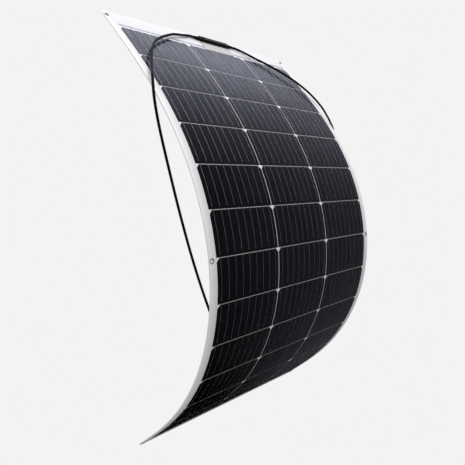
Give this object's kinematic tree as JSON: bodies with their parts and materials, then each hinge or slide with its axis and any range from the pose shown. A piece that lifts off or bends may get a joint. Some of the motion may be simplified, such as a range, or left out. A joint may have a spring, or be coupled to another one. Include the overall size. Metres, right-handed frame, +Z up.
{
  "type": "flexible solar sheet",
  "caption": "Semi-flexible solar sheet of half-cut cells in rows between a white back sheet and clear film, with eyelets, a slim junction box and two plugged leads.",
  "frame": {"origin": "middle of the top band's back face, where the sheet is held", "axes": "+Z up, -Y to the front (the cell side), +X to the right seen from the front"},
  "size_m": [0.5285, 0.2909, 0.8715],
  "materials": {
    "white_sheet": "white polyester back sheet, satin",
    "black_cell": "blue-black monocrystalline silicon",
    "clear_film": "clear textured fluoropolymer film",
    "tinned_ribbon": "tinned copper",
    "eyelet_metal": "nickel plated",
    "foam_tape": "black foam tape",
    "black_plastic": "moulded, fine grain",
    "brass_parts": "tinned brass",
    "black_rubber": "matte cable jacket",
    "red_seal": "silicone rubber"
  },
  "bodies": {
    "band_01": {"back_sheet_01": "white_sheet", "cell_row_01": "black_cell", "front_film_01": "clear_film", "bus_ribbon_top": "tinned_ribbon", "eyelet_top_left": "eyelet_metal", "eyelet_top_right": "eyelet_metal", "junction_box_pad": "foam_tape", "junction_box_base": "black_plastic", "junction_box_lid": "black_plastic", "terminal_left": "brass_parts", "terminal_right": "brass_parts", "bypass_diode": "black_plastic", "strain_relief_left": "black_rubber", "strain_relief_right": "black_rubber", "lead_left": "black_rubber", "lead_right": "black_rubber", "connector_nut_left": "black_plastic", "connector_nut_right": "black_plastic", "connector_socket": "black_plastic", "connector_plug": "black_plastic", "connector_pin": "brass_parts", "connector_seal": "red_seal"},
    "band_02": {"back_sheet_02": "white_sheet", "cell_row_02": "black_cell", "front_film_02": "clear_film"},
    "band_03": {"back_sheet_03": "white_sheet", "cell_row_03": "black_cell", "front_film_03": "clear_film"},
    "band_04": {"back_sheet_04": "white_sheet", "cell_row_04": "black_cell", "front_film_04": "clear_film"},
    "band_05": {"back_sheet_05": "white_sheet", "cell_row_05": "black_cell", "front_film_05": "clear_film"},
    "band_06": {"back_sheet_06": "white_sheet", "cell_row_06": "black_cell", "front_film_06": "clear_film"},
    "band_07": {"back_sheet_07": "white_sheet", "cell_row_07": "black_cell", "front_film_07": "clear_film", "eyelet_middle_left": "eyelet_metal", "eyelet_middle_right": "eyelet_metal"},
    "band_08": {"back_sheet_08": "white_sheet", "cell_row_08": "black_cell", "front_film_08": "clear_film"},
    "band_09": {"back_sheet_09": "white_sheet", "cell_row_09": "black_cell", "front_film_09": "clear_film"},
    "band_10": {"back_sheet_10": "white_sheet", "cell_row_10": "black_cell", "front_film_10": "clear_film"},
    "band_11": {"back_sheet_11": "white_sheet", "cell_row_11": "black_cell", "front_film_11": "clear_film"},
    "band_12": {"back_sheet_12": "white_sheet", "cell_row_12": "black_cell", "front_film_12": "clear_film", "bus_ribbon_bottom": "tinned_ribbon", "eyelet_bottom_left": "eyelet_metal", "eyelet_bottom_right": "eyelet_metal"}
  },
  "joints": [
    {"name": "bend_01", "type": "hinge", "parent": "band_01", "child": "band_02", "pos_m": [0, -0.04231, -0.04848], "axis": [1, 0, 0], "range_deg": [-3.31, 0.01]},
    {"name": "bend_02", "type": "hinge", "parent": "band_02", "child": "band_03", "pos_m": [0, -0.09094, -0.11373], "axis": [1, 0, 0], "range_deg": [-5.11, 0.01]},
    {"name": "bend_03", "type": "hinge", "parent": "band_03", "child": "band_04", "pos_m": [0, -0.13358, -0.18304], "axis": [1, 0, 0], "range_deg": [-7.01, 0.01]},
    {"name": "bend_04", "type": "hinge", "parent": "band_04", "child": "band_05", "pos_m": [0, -0.16746, -0.25703], "axis": [1, 0, 0], "range_deg": [-8.81, 0.01]},
    {"name": "bend_05", "type": "hinge", "parent": "band_05", "child": "band_06", "pos_m": [0, -0.18962, -0.33532], "axis": [1, 0, 0], "range_deg": [-10.31, 0.01]},
    {"name": "bend_06", "type": "hinge", "parent": "band_06", "child": "band_07", "pos_m": [0, -0.19742, -0.41633], "axis": [1, 0, 0], "range_deg": [-11.41, 0.01]},
    {"name": "bend_07", "type": "hinge", "parent": "band_07", "child": "band_08", "pos_m": [0, -0.18905, -0.49727], "axis": [1, 0, 0], "range_deg": [-12.2, 0]},
    {"name": "bend_08", "type": "hinge", "parent": "band_08", "child": "band_09", "pos_m": [0, -0.16377, -0.57462], "axis": [1, 0, 0], "range_deg": [-12.01, 0.01]},
    {"name": "bend_09", "type": "hinge", "parent": "band_09", "child": "band_10", "pos_m": [0, -0.12296, -0.64502], "axis": [1, 0, 0], "range_deg": [-11.31, 0.01]},
    {"name": "bend_10", "type": "hinge", "parent": "band_10", "child": "band_11", "pos_m": [0, -0.06914, -0.70606], "axis": [1, 0, 0], "range_deg": [-9.41, 0.01]},
    {"name": "bend_11", "type": "hinge", "parent": "band_11", "child": "band_12", "pos_m": [0, -0.00608, -0.75749], "axis": [1, 0, 0], "range_deg": [-6.41, 0.01]}
  ],
  "couplings": [
    {"joint": "bend_01", "follows": "bend_07", "ratio": 0.27049},
    {"joint": "bend_02", "follows": "bend_07", "ratio": 0.41803},
    {"joint": "bend_03", "follows": "bend_07", "ratio": 0.57377},
    {"joint": "bend_04", "follows": "bend_07", "ratio": 0.72131},
    {"joint": "bend_05", "follows": "bend_07", "ratio": 0.84426},
    {"joint": "bend_06", "follows": "bend_07", "ratio": 0.93443},
    {"joint": "bend_08", "follows": "bend_07", "ratio": 0.98361},
    {"joint": "bend_09", "follows": "bend_07", "ratio": 0.92623},
    {"joint": "bend_10", "follows": "bend_07", "ratio": 0.77049},
    {"joint": "bend_11", "follows": "bend_07", "ratio": 0.52459}
  ]
}
